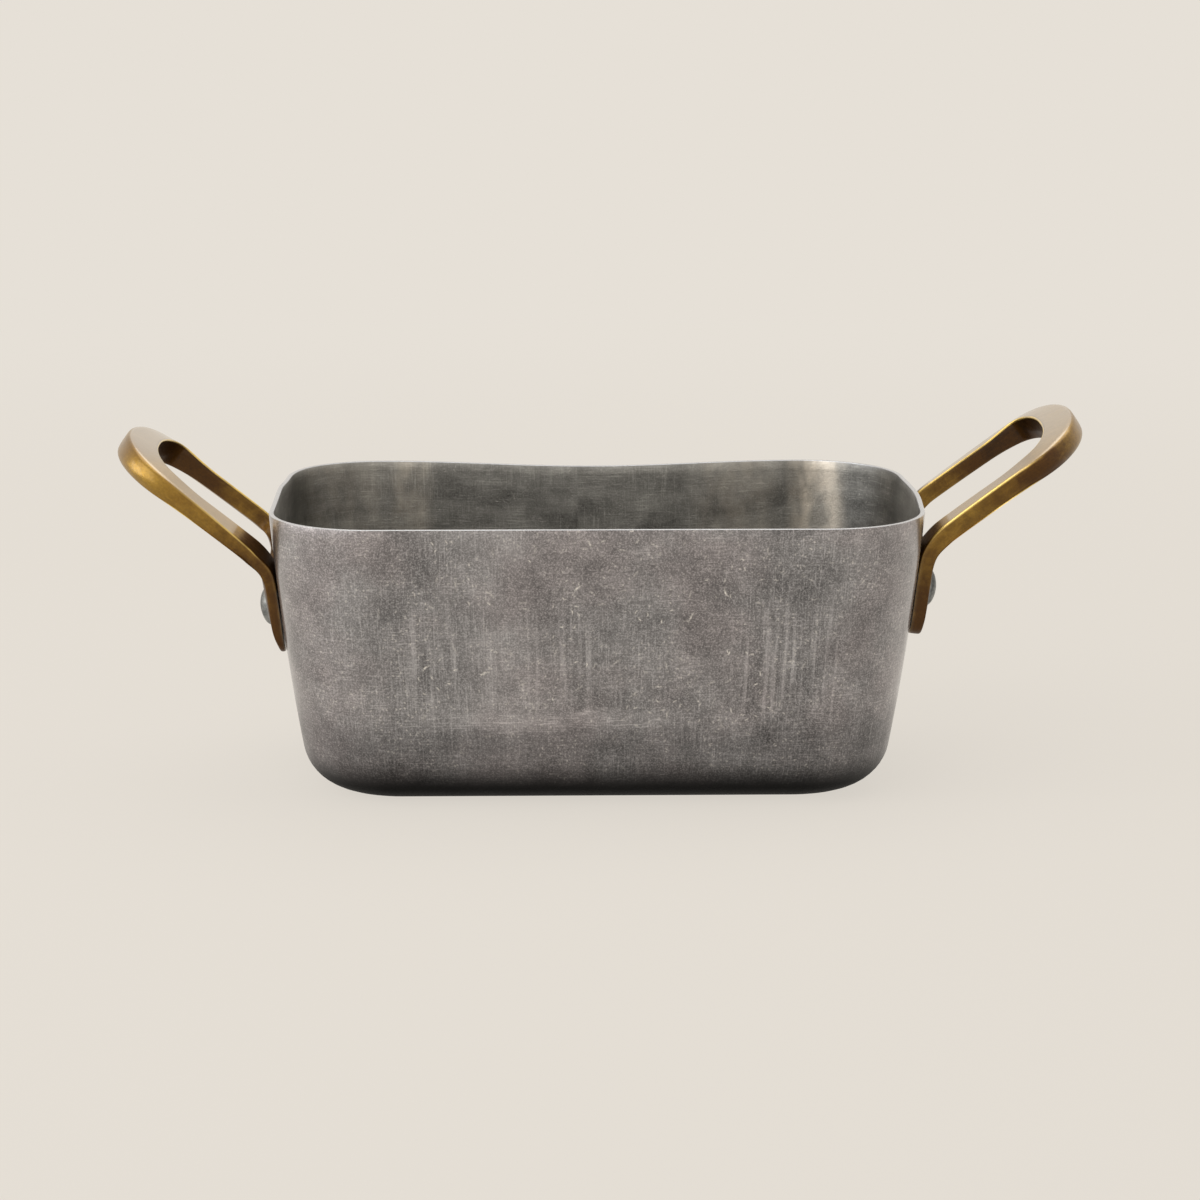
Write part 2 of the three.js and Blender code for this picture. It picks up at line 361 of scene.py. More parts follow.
# Soft upright stripes along x, each with its middle, half width and share
def addStripe(net, x, middle, half, share=1.0):
    away = net.math("ABSOLUTE", net.math("SUBTRACT", x, middle))
    return net.times(net.range(away, half * 1.3, half * 0.4), share)


def addStripes(net, x, stripes):
    result = addStripe(net, x, *stripes[0])
    for stripe in stripes[1:]:
        result = net.math("MAXIMUM", result, addStripe(net, x, *stripe))
    return result


# Dull tumbled steel of the pan, with lengths in metres
steelSet = {
    "warm": tone(158, 152, 153),
    "cool": tone(151, 149, 150),
    "pale": tone(238, 233, 226),
    # painted shade: near-black tone of the outer wall at the base edge
    "baseShade": tone(12, 12, 12),
    "rim": tone(208, 211, 217),
    "inner": tone(159, 158, 154),
    # painted reflection: pale tone of the patches on the rear wall inside
    "paintedSheen": tone(240, 229, 213),
    "roughness": 0.4,
    "haze": {"Coat Roughness": 0.16, "Coat IOR": 1.56},  # bright where seen edge on
    "stains": ((0.026, 0.16), (0.009, 0.22)),  # size and softness of the broad and the small ones
    "grains": (0.00036, 0.0009),
    "speck": (0.2, 0.11, 0.34),  # shares of fine grain, coarse grain and the brightest grains
    "brushLines": ((170, 2800, 1), (2800, 120, 1)),  # across and upright
    "plainLight": 0.44,
    "layers": (0.3, 0.06, 0.46, 0.13),  # shares of small stains, broad ones, brush lines and the top band
    "topBand": (0.054, 0.062),
    "streakLines": (640, 24, 1),
    "streakFoot": (0.018, 0.025),
    "streakHead": (0.054, 0.038),
    "streaks": ((-0.034, 0.012, 0.4), (-0.008, 0.010, 0.3), (0.040, 0.013, 0.45)),
    # painted light and shade: upright bright and dark bands on the outer wall, standing in for reflections
    "paintedLightBands": ((-0.059, 0.011, 0.13), (-0.041, 0.006, -0.09), (-0.022, 0.009, 0.17),
               (0.041, 0.008, -0.14), (0.068, 0.006, 0.14)),
    "bandHeight": 0.0237,  # rubbed band above the base bend, which wanders up and down
    "bandWander": 0.007,
    "bandEdge": (0.0034, 0.0006),
    "band": (-0.012, 0.03),
    "bandShares": (0.12, 0.75),  # the least along the wall, and the whole
    "smear": (45, 190, 1),
    "smearShare": 0.16,
    # painted shade in the rear corner inside
    "cornerShadeSpan": (0.056, 0.064),  # from and to, along the rear wall inside
    "cornerShadeShare": 0.4,
    "scuffs": ((0.0085, 0.19, 0.042, 0.55), (0.003, 0.27, 0.09, 0.75), (0.0014, 0.34, 0.2, 0.5)),
    "scuffSides": (0.064, 0.03),
    "scuffFoot": (0.01, 0.026),
    "clusters": (95, 0.49, 0.62),  # scale of their noise, where nicks begin in it and where they are full
    "reflectionBreakup": (230, 110, 1),
    # painted reflections on the rear wall inside: middle, half width and share
    "rearReflectionPatches": ((-0.058, 0.012, 0.12), (-0.043, 0.005, 0.3), (0.035, 0.01, 0.2), (0.054, 0.0062, 0.66)),
    "reflectionFoot": (0.012, 0.03),
    # painted shade towards the base edge
    "baseShadeSteps": ((0.024, 0.013, 0.3), (0.012, 0.003, 0.7)),  # from, to and share
    "rimHeight": (0.045, 0.05),
    "relief": 0.00002,
}


def makeSteel():
    material, net, shader, place = startMetal("antiqueSteel")
    own = steelSet
    wall = net.add("UVMap", uv_map="wrap").outputs[0]
    x, y, height = net.parts(place)
    within = net.attribute("inside")
    outside = net.rest(within)
    facing = net.parts(net.add("NewGeometry").outputs["Normal"])

    # tumbled ground: clouds, fine grain and a weave of short brush lines
    broad, small = [net.mask("stains", vector=place, size=size, soft=soft) for size, soft in own["stains"]]
    grain, coarse = [net.mask("grain", vector=place, size=size) for size in own["grains"]]
    across, upright = [net.mask("brushing", vector=wall, stretch=stretch, thin=0.2)
                       for stretch in own["brushLines"]]
    weave = net.layers((across, small), (upright, broad))
    salt = net.range(grain, 0.05, 0.75)  # the brightest grains
    speck = net.layers(*zip((grain, coarse, salt), own["speck"]))
    speck = net.times(speck, net.rest(net.times(within, 0.7)))
    colour = net.mix(broad, own["warm"], own["cool"])
    colour = net.mix(within, colour, own["inner"])
    light = net.sum(own["plainLight"], speck)
    top = net.range(height, *own["topBand"])
    for layer, share in zip((small, broad, weave, top), own["layers"]):
        light = net.sum(light, net.times(layer, share))

    # upright streaks in patches and the rubbed band, both uneven
    lines = net.mask("brushing", vector=wall, stretch=own["streakLines"], thin=0.16)
    foot, head = [net.range(height, *own[key]) for key in ("streakFoot", "streakHead")]
    streak = net.times(lines, addStripes(net, x, own["streaks"]), foot, head, outside)
    light = net.sum(light, streak)
    # painted light and shade: upright bright and dark bands across the outer wall
    for cloud in own["paintedLightBands"]:
        light = net.sum(light, net.times(addStripe(net, x, *cloud), outside))
    least, whole = own["bandShares"]
    level = net.sum(height, net.times(net.noise(wall, 60, 3), own["bandWander"]))
    away = net.math("ABSOLUTE", net.math("SUBTRACT", level, own["bandHeight"]))
    along = net.sum(least, addStripe(net, x, *own["band"]))
    broken = net.range(across, 0.0, 1.0, 0.35, 1.0)
    band = net.times(net.range(away, *own["bandEdge"]), broken, along, outside, whole)
    light = net.sum(light, band)

    # smears inside and painted shade in the rear corner
    smear = net.noise(net.vector("MULTIPLY", wall, own["smear"]), 1.0, 3)
    smear = net.range(smear, 0.3, 0.7, -own["smearShare"], own["smearShare"])
    light = net.sum(light, net.times(smear, within))
    cornerShade = net.times(net.range(x, *own["cornerShadeSpan"]), within, own["cornerShadeShare"])
    light = net.times(light, net.rest(cornerShade))
    colour = net.mix(1.0, colour, light, "MULTIPLY")

    # nicks in clusters, most of them in the middle of the walls
    big, fine, crumb = [net.mask("nicks", vector=wall, size=size, length=length,
                                 width=width, amount=amount)
                        for size, length, width, amount in own["scuffs"]]
    middle = net.range(net.math("ABSOLUTE", x), *own["scuffSides"], 0.25, 1.0)
    middle = net.times(middle, net.range(height, *own["scuffFoot"], 0.35, 1.0))
    scale, low, high = own["clusters"]
    cluster = net.range(net.noise(wall, scale, 3), low, high)
    fine = net.times(fine, middle, cluster)
    big = net.times(big, middle, net.math("MAXIMUM", cluster, 0.4))
    crumb = net.times(crumb, net.range(small, 0.2, 0.9), 0.6)
    nick = net.math("MAXIMUM", net.math("MAXIMUM", big, fine), crumb)
    nick = net.times(nick, net.range(grain, -0.8, 0.5, 0.4, 1.05))
    marks = net.times(nick, net.sum(0.2, net.times(outside, 0.8)))
    colour = net.mix(marks, colour, own["pale"])

    # painted reflections: soft upright pale patches on the rear wall inside
    breakupNoise = net.noise(net.vector("MULTIPLY", wall, own["reflectionBreakup"]), 1.0, 4)
    breakupNoise = net.range(breakupNoise, 0.32, 0.66, 0.25, 1.0)
    paintedReflection = net.times(addStripes(net, x, own["rearReflectionPatches"]), breakupNoise, within)
    paintedReflection = net.times(paintedReflection, net.range(y, 0.0, 0.01), net.range(height, *own["reflectionFoot"]))
    colour = net.mix(paintedReflection, colour, own["paintedSheen"])

    # painted shade at the base edge, darker towards the bottom, outside only, and the bright cut rim
    baseShade = net.layers(*[(net.range(height, high, low), share) for high, low, share in own["baseShadeSteps"]])
    baseShade = net.times(baseShade, outside)
    colour = net.mix(baseShade, colour, own["baseShade"])
    rim = net.times(net.range(facing[2], 0.2, 0.6), net.range(height, *own["rimHeight"]))
    colour = net.mix(rim, colour, own["rim"])

    clean = net.math("SUBTRACT", outside, net.math("POWER", baseShade, 0.5))
    feed(shader.inputs["Coat Weight"], net.math("MAXIMUM", clean, 0.0))
    change = net.layers((grain, 0.06), (marks, -0.08), (baseShade, 0.3), (rim, -0.14))
    finishMetal(net, shader, own, colour, change, net.layers((grain, 0.5), (coarse, 0.6), (nick, -2.0)))
    return material


# Aged brass of the castings
brassSet = {
    "gold": tone(172, 137, 60),
    "deep": tone(146, 110, 44),
    "brown": tone(84, 55, 21),
    "black": tone(52, 36, 22),
    "bright": tone(245, 212, 118),
    # painted sheen: pale tone of the smooth upper faces
    "paintedSheen": tone(213, 202, 187),
    "roughness": 0.43,
    "haze": {"Coat Roughness": 0.16, "Coat IOR": 1.65},  # pale where seen edge on
    "stains": ((0.016, 0.25), (0.0035, 0.2)),  # size and softness of clouds and spots
    "grain": 0.0006,
    "brushLines": (1500, 90, 1500),
    "wear": (0.7, 1.9),  # edge curve, in 1/mm, where rubbing begins and where it is full
    "browning": (0.1, 0.9),  # cover of patina and painted shade where each colour begins and is full
    "blackening": (0.9, 1.4),
    "sheenRange": (0.8, 1.0, 0.0, 0.45),
    "relief": 0.00003,
}


def makeBrass():
    material, net, shader, place = startMetal("antiqueBrass")
    own = brassSet
    laid = net.attribute("laid", "Vector")
    patinaAndShade, curve, dull = [net.attribute(name) for name in ("patinaAndShade", "curve", "dull")]
    cloud, spots = [net.mask("stains", vector=place, size=size, soft=soft) for size, soft in own["stains"]]
    grain = net.mask("grain", vector=place, size=own["grain"])
    lines = net.mask("brushing", vector=laid, stretch=own["brushLines"], thin=0.2)
    low, high = own["wear"]
    worn = net.mask("wear", vector=place, curve=curve, low=low, high=high)
    smoothAndSheen = net.rest(dull)
    cover = net.sum(patinaAndShade, net.times(net.math("SUBTRACT", spots, 0.5), 0.22))
    cover = net.sum(cover, net.times(lines, -0.07))
    colour = net.mix(cloud, own["gold"], own["deep"])
    colour = net.mix(net.range(cover, *own["browning"]), colour, own["brown"])
    colour = net.mix(net.range(cover, *own["blackening"]), colour, own["black"])
    light = net.sum(0.96, net.times(grain, 0.1), net.times(lines, 0.08))
    colour = net.mix(1.0, colour, light, "MULTIPLY")
    # painted sheen: pale tone on the smooth upper faces
    colour = net.mix(net.range(smoothAndSheen, *own["sheenRange"]), colour, own["paintedSheen"])
    colour = net.mix(worn, colour, own["bright"])
    feed(shader.inputs["Coat Weight"], smoothAndSheen)
    change = net.layers((cover, 0.1), (smoothAndSheen, -0.1), (worn, -0.08))
    finishMetal(net, shader, own, colour, change, net.layers((grain, 0.4), (lines, 0.7), (spots, 1.5)))
    return material


# Plain steel of the rivets
rivetSteelSet = {
    "plain": tone(156, 157, 155),
    "dark": tone(100, 102, 101),
    "bright": tone(190, 192, 196),
    "roughness": 0.5,
    "stains": (0.003, 0.2),  # size and softness
    "grain": 0.0005,
    "wear": (0.5, 2.2),
    "relief": 0.00003,
}


def makeRivetSteel():
    material, net, shader, place = startMetal("rivetSteel")
    own = rivetSteelSet
    size, soft = own["stains"]
    low, high = own["wear"]
    cloud = net.mask("stains", vector=place, size=size, soft=soft)
    grain = net.mask("grain", vector=place, size=own["grain"])
    curve = net.attribute("curve")
    worn = net.mask("wear", vector=place, curve=curve, low=low, high=high)
    colour = net.mix(cloud, own["plain"], own["dark"])
    light = net.sum(1.0, net.times(grain, 0.14))
    colour = net.mix(1.0, colour, light, "MULTIPLY")
    colour = net.mix(net.times(worn, 0.6), colour, own["bright"])
    finishMetal(net, shader, own, colour, net.times(cloud, 0.1), net.sum(grain, cloud))
    return material


steel, brass, rivetSteel = makeSteel(), makeBrass(), makeRivetSteel()
print("materials ready")


# Pressed pan, sizes in millimetres and degrees
panSet = {
    "rimLength": 145,
    "rimWidth": 90,
    "height": 63.6,
    "sheet": 1.1,
    "rimCorner": 23,
    "baseCorner": 11,
    "draft": 4.6,
    "belly": 3.6,
    "baseBend": 12.5,
    "rearDip": 1.3,
    "wave": 0.16,  # hand-worked unevenness of the walls
    "waveLengths": (26, 9),
    "rimPush": {1: (0, 29, 1.2), -1: (24, 18, -1.2)},  # right and left: middle, half width, push outwards
    "pushFrom": 50,  # height from which the end walls follow the rim
    "pushEnds": (60, 69),
    "baseInset": 6,
    "seam": 1.58,  # angle, in radians, at which the run round the rim begins
    "rimRound": 0.18,
    "cornerSteps": 16,
    "longCuts": 31,  # cuts of the plain outline's long and short sides, told apart by their lengths
    "shortCuts": 15,
    "longSide": 60,
    "shortSide": 20,
    "wallSteps": 22,
    "bendSteps": 12,
}


def wallInset(z):
    down = panSet["height"] - z
    return math.tan(math.radians(panSet["draft"])) * down + panSet["belly"] * (down / panSet["height"]) ** 2


def wallLean(z):
    down = panSet["height"] - z
    slope = math.tan(math.radians(panSet["draft"]))
    return math.atan(slope + 2 * panSet["belly"] * down / panSet["height"] ** 2)


def bendTop():
    z = panSet["baseBend"]
    for turn in range(20):
        z = panSet["baseBend"] * (1 - math.sin(wallLean(z)))
    return z


# Inset and height of each level of the outer wall, from the rim down to the flat base
def panLevels():
    start, bend = bendTop(), panSet["baseBend"]
    rows, turns = panSet["wallSteps"], panSet["bendSteps"]
    lean = wallLean(start)
    centre = wallInset(start) + bend * math.cos(lean)
    heights = [mix(panSet["height"], start, step / rows) for step in range(rows + 1)]
    angles = [mix(lean, math.pi / 2, (step + 1) / turns) for step in range(turns)]
    levels = [(wallInset(z), z) for z in heights]
    return levels + [(centre - bend * math.cos(a), bend * (1 - math.sin(a))) for a in angles]


def rearSag(x, y, z):
    reach = panSet["rimLength"] / 2 - panSet["rimCorner"]
    if y < 0 or abs(x) > reach:
        return 0
    share = max(0, (z - bendTop()) / (panSet["height"] - bendTop()))
    return panSet["rearDip"] * share * math.cos(math.pi * x / (2 * reach)) ** 2


# The rim's ends aren't quite straight: the right one is bowed out, the left one drawn in at the rear
def rimPush(x, y, z):
    middle, half, push = panSet["rimPush"][1 if x > 0 else -1]
    if abs(y - middle) > half:
        return 0
    share = smoothStep(z, panSet["pushFrom"], panSet["height"]) * smoothStep(abs(x), *panSet["pushEnds"])
    return math.copysign(push * share * math.cos(math.pi * (y - middle) / (2 * half)) ** 2, x * push)


def makePan():
    levels = panLevels()
    flatInset = levels[-1][0]
    clearPick()
    bpy.ops.mesh.primitive_plane_add(size=1)
    pan = editPiece("panShell")
    bpy.ops.transform.resize(value=(panSet["rimLength"] * mm, panSet["rimWidth"] * mm, 1))
    bpy.ops.transform.translate(value=(0, 0, panSet["height"] * mm))
    bpy.ops.mesh.bevel(offset=panSet["rimCorner"] * mm, affect="VERTICES", segments=panSet["cornerSteps"])
    bpy.ops.mesh.delete(type="ONLY_FACE")
    pickParts(pan, "EDGE", lambda edge: edge.calc_length() > panSet["longSide"] * mm)
    bpy.ops.mesh.subdivide(number_cuts=panSet["longCuts"])
    pickParts(pan, "EDGE", lambda edge: panSet["shortSide"] < edge.calc_length() / mm < panSet["longSide"])
    bpy.ops.mesh.subdivide(number_cuts=panSet["shortCuts"])

    # run round the rim from the middle of the rear wall, kept for the wall's own UV map
    shape = bmesh.from_edit_mesh(pan.data)
    run, seam = shape.verts.layers.float.new("run"), panSet["seam"]
    shape.verts.layers.float.new("rise")
    ring = sorted(shape.verts, key=lambda vert: (math.atan2(vert.co.y, vert.co.x) - seam) % (2 * math.pi))
    length = 0
    for number, vert in enumerate(ring):
        if number:
            length += (vert.co - ring[number - 1].co).length
        vert[run] = length
    around = length + (ring[0].co - ring[-1].co).length
    bmesh.update_edit_mesh(pan.data)

    # walls and base bend, pulled down level by level
    bpy.ops.mesh.select_all(action="SELECT")
    for number in range(1, len(levels)):
        (oldInset, oldZ), (inset, z) = levels[number - 1], levels[number]
        bpy.ops.mesh.extrude_edges_move(TRANSFORM_OT_translate={"value": (0, 0, (z - oldZ) * mm)})
        shape = bmesh.from_edit_mesh(pan.data)
        rise = shape.verts.layers.float["rise"]
        corner = [panSet["rimCorner"] - (panSet["rimCorner"] - panSet["baseCorner"]) * i / flatInset
                  for i in (oldInset, inset)]
        oldX, oldY = [panSet[key] / 2 - oldInset - corner[0] for key in ("rimLength", "rimWidth")]
        newX, newY = [panSet[key] / 2 - inset - corner[1] for key in ("rimLength", "rimWidth")]
        drop = math.hypot(inset - oldInset, z - oldZ) * mm
        for vert in shape.verts:
            if vert.select:
                x, y = vert.co.x / mm, vert.co.y / mm
                coreX, coreY = min(max(x, -oldX), oldX), min(max(y, -oldY), oldY)
                out = corner[1] / corner[0]
                vert.co.x = (coreX * newX / oldX + (x - coreX) * out) * mm
                vert.co.y = (coreY * newY / oldY + (y - coreY) * out) * mm
                vert[rise] -= drop
        bmesh.update_edit_mesh(pan.data)
    bpy.ops.mesh.edge_face_add()
    bpy.ops.mesh.inset(thickness=panSet["baseInset"] * mm)

    # dip of the rear rim, push of the rim's ends, and the unevenness of hand work, which only goes inwards
    longWave, shortWave = panSet["waveLengths"]
    shape = bmesh.from_edit_mesh(pan.data)
    for vert in shape.verts:
        x, y, z = vert.co / mm
        spot = Vector((x, y, z))
        vert.co.z -= rearSag(x, y, z) * mm
        vert.co.x += rimPush(x, y, z) * mm
        uneven = 0.5 + 0.5 * noise.noise(spot / longWave) + 0.25 * noise.noise(spot / shortWave)
        if z > 0.5:
            vert.co -= Vector((x, y, 0)).normalized() * panSet["wave"] * max(0, min(1, uneven)) * mm
    bmesh.update_edit_mesh(pan.data)
    faceOut()
    leaveEdit()
    lowest = min(pan.data.polygons, key=lambda face: face.center.z)
    if lowest.normal.z > 0:
        pan.data.flip_normals()

    # UV map, in metres: run along the rim and rise along the profile, and plain x and y on the flat base
    wrap = pan.data.uv_layers.new(name="wrap")
    runs, rises = pointValues(pan, "run"), pointValues(pan, "rise")
    for face in pan.data.polygons:
        corners = [pan.data.loops[loop].vertex_index for loop in face.loop_indices]
        split = max(runs[corners]) - min(runs[corners]) > around / 2
        flat = max(pan.data.vertices[corner].co.z for corner in corners) < 0.01 * mm
        for loop, corner in zip(face.loop_indices, corners):
            past = around if split and runs[corner] < around / 2 else 0
            onWall = (runs[corner] + past, rises[corner] + 0.1)
            wrap.data[loop].uv = pan.data.vertices[corner].co.xy if flat else onWall

    # thickness of the sheet, inwards, then a level cut rim with its edges eased
    outerCount = len(pan.data.vertices)
    useModifier(pan, "SOLIDIFY", thickness=panSet["sheet"] * mm, offset=-1, use_even_offset=True)
    within = np.zeros(len(pan.data.vertices))
    within[outerCount:] = 1
    keepPoints(pan, "inside", within)
    rimOuter = [vert for vert in range(outerCount) if rises[vert] == 0]
    for vert in rimOuter:
        pan.data.vertices[vert + outerCount].co.z = pan.data.vertices[vert].co.z
    rimBoth = set(rimOuter) | {vert + outerCount for vert in rimOuter}
    onlyPick(pan)
    bpy.ops.object.mode_set(mode="EDIT")
    pickParts(pan, "EDGE", lambda edge: all(vert.index in rimBoth for vert in edge.verts)
              and (edge.verts[0].index < outerCount) == (edge.verts[1].index < outerCount))
    bpy.ops.mesh.bevel(offset=panSet["rimRound"] * mm, segments=2, affect="EDGES")
    leaveEdit()
    return pan


# Cast loop handles
handleSet = {
    "width": 42,
    "tabBelow": 5.4,
    "tabAbove": 3.6,
    "tabCorner": 4,
    "bendRadius": 11.8,
    "legThickness": 5,
    "legWidth": 4.5,
    "legCurl": 4,
    "tipLength": 14.5,
    "tipWidth": 7.5,
    "holeTip": 7,
    "holeFoot": 9.5,
    "holeStart": 0.8,
    "tipFullness": 2.3,  # 2 is an ellipse, more is squarer
    "footFullness": 3,
    "clearance": 0.3,
    "underRise": 1.1,  # rise of the legs' underside towards the hole
    "crown": 1.0,  # rise of the hole's edge at the tip
    "crownZone": (22, 10),  # begin and end, measured back from the tip, as in the zones below
    "barrel": 1.6,  # swelling of the outer side at the tip
    "barrelZone": (22, 3),
    "softZone": (13, 2),
    "midZone": (20, 8),
    "shoulderEnd": 42,  # where the ground shoulders run out past the tab, and over what length
    "shoulderFade": 36,
    "filed": 0.8,  # how far the lower half of the outer side is filed back
    "edges": {"outerTop": 0.4, "outerLow": 1.3, "holeTop": 0.35, "holeLow": 0.4},
    "footEdge": 0.5,  # ease of the lower outer edge at the tab and the bend
    "sideCuts": 12,
    "cornerCuts": 5,
    "footCuts": 12,
    "legCuts": 8,
    "tipCuts": 28,
    "spokeCuts": 7,
}
handles = {
    "left": {
        "turn": 180,
        "drop": 22.7,
        "tilt": -0.3,
        "tab": 2.3,
        "taper": 1,
        "tip": 5.5,
        "bend": 44,
        "legs": 36.4,
        "shoulder": 2.0,  # how far the outer edges are ground down beside the bend
        "softTip": 1.1,
        "shade": (30, 0.9),  # how far up the upper face painted shade reaches beside the pan, and how dark
        "stain": [0.95, 0.85, 0.7, 0.3, 0.14, 0.2],  # from the foot to the tip
        "inner": (0.22, 1.0),  # painted shade in the hole, near the pan and at the tip
        "rub": 0.6,
    },
    "right": {
        "turn": 0,
        "drop": 18.5,
        "tilt": 2.4,
        "tab": 3.1,
        "taper": 0.3,
        "tip": 5.3,
        "bend": 46.2,
        "legs": 37.9,
        "shoulder": 0.75,
        "softTip": 0.96,
        "shade": (27, 0.72),
        "stain": [0.95, 0.85, 0.4, 0.52, 0.98, 0.1],
        "inner": (0.42, 1.1),
        "rub": 0.8,
    },
}
rivetSet = {
    "inset": 8.5,
    "shank": 4.2,
    "head": 9,
    "outerDome": 2.2,
    "innerDome": 1.4,
    "crown": 0.045,  # share of the dome that its last, narrow ring adds
    "crownWidth": 0.4,
    "uneven": 0.05,
    "edge": 0.25,
    "rows": 5,
    "round": 32,
    "drill": 16,  # length of the cutter for each hole
}
tabHeight = handleSet["tabBelow"] + rivetSet["head"] + handleSet["tabAbove"]
rivetRise = handleSet["tabBelow"] + rivetSet["head"] / 2
rivetAcross = handleSet["width"] / 2 - rivetSet["inset"]


def handlePlace(side):
    own = handles[side]
    z = panSet["height"] - own["drop"]
    out = panSet["rimLength"] / 2 - wallInset(z)
    turn = math.radians(own["turn"])
    place = Matrix.Translation(Vector((out * math.cos(turn), out * math.sin(turn), z)) * mm)
    place @= Matrix.Rotation(turn, 4, "Z") @ Matrix.Rotation(wallLean(z), 4, "Y")
    return place @ Matrix.Rotation(math.radians(own["tilt"]), 4, "X")


# Rounded end of the outline or the hole, squarer than an ellipse
def roundedEnd(half, length, base, fullness, begin, end, cuts):
    points = []
    for step in range(cuts):
        angle = mix(begin, end, step / cuts)
        across, up = [math.copysign(abs(part) ** (2 / fullness), part)
                      for part in (math.cos(angle), math.sin(angle))]
        points.append((half * across, base + length * up))
    return points


def straightRun(begin, end, cuts):
    shares = [step / cuts for step in range(cuts)]
    return [(mix(begin[0], end[0], share), mix(begin[1], end[1], share)) for share in shares]


def cornerRun(middle, begin, cuts):
    radius = handleSet["tabCorner"]
    angles = [begin + math.pi / 2 * step / cuts for step in range(cuts)]
    return [(middle + radius * math.cos(a), radius + radius * math.sin(a)) for a in angles]


# Outline and finger hole of a casting laid flat, point by point
def handleOutlines(own):
    half, corner = handleSet["width"] / 2, handleSet["tabCorner"]
    holeHalf = half - handleSet["legWidth"]
    length = tabHeight + handleSet["bendRadius"] * math.radians(own["bend"]) + own["legs"]
    low = tabHeight + handleSet["holeStart"] + handleSet["holeFoot"]
    high, holeHigh = length - handleSet["tipLength"], length - handleSet["tipWidth"] - handleSet["holeTip"]
    sides, bends, foot = handleSet["sideCuts"], handleSet["cornerCuts"], handleSet["footCuts"]
    legs, tip, full = handleSet["legCuts"], handleSet["tipCuts"], handleSet["tipFullness"]
    outer = straightRun((-half, low), (-half, corner), sides) + cornerRun(corner - half, math.pi, bends)
    outer += straightRun((corner - half, 0), (half - corner, 0), foot)
    outer += cornerRun(half - corner, 1.5 * math.pi, bends)
    outer += straightRun((half, corner), (half, low), sides)
    outer += straightRun((half, low), (half, high), legs)
    outer += roundedEnd(half, handleSet["tipLength"], high, full, 0, math.pi, tip)
    outer += straightRun((-half, high), (-half, low), legs)
    hole = roundedEnd(holeHalf, handleSet["holeFoot"], low, handleSet["footFullness"], math.pi, 2 * math.pi,
                      2 * (sides + bends) + foot)
    hole += straightRun((holeHalf, low), (holeHalf, holeHigh), legs)
    hole += roundedEnd(holeHalf, handleSet["holeTip"], holeHigh, full, 0, math.pi, tip)
    hole += straightRun((-holeHalf, holeHigh), (-holeHalf, low), legs)
    return outer, hole, length


# Side line of the upper face: tab, bend and gently curled legs
def sideLine(along, own):
    radius, bend = handleSet["bendRadius"], math.radians(own["bend"])
    arc = radius * bend
    turned = np.clip((along - tabHeight) / radius, 0, bend)
    past = np.maximum(0, along - tabHeight - arc)
    curl = math.radians(handleSet["legCurl"]) * past / own["legs"]
    heading = math.pi / 2 - turned - curl / 2
    foot = 1 - smoothStep(along, 0, handleSet["tabBelow"])
    swell = smoothStep(along, tabHeight - handleSet["tabAbove"], tabHeight + arc * 0.8)
    x = handleSet["clearance"] + radius * (1 - np.cos(turned)) + past * np.cos(heading)
    z = np.minimum(along, tabHeight) - rivetRise + radius * np.sin(turned) + past * np.sin(heading)
    leg = mix(handleSet["legThickness"], own["tip"], past / own["legs"])
    thickness = mix(own["tab"], leg, swell) - own["taper"] * foot
    return x, z, math.pi / 2 - turned - curl, thickness


# Share from 0 to 1 over a zone measured back from the tip
def tipShare(along, length, zone):
    begin, end = handleSet[zone]
    return smoothStep(along, length - begin, length - end)


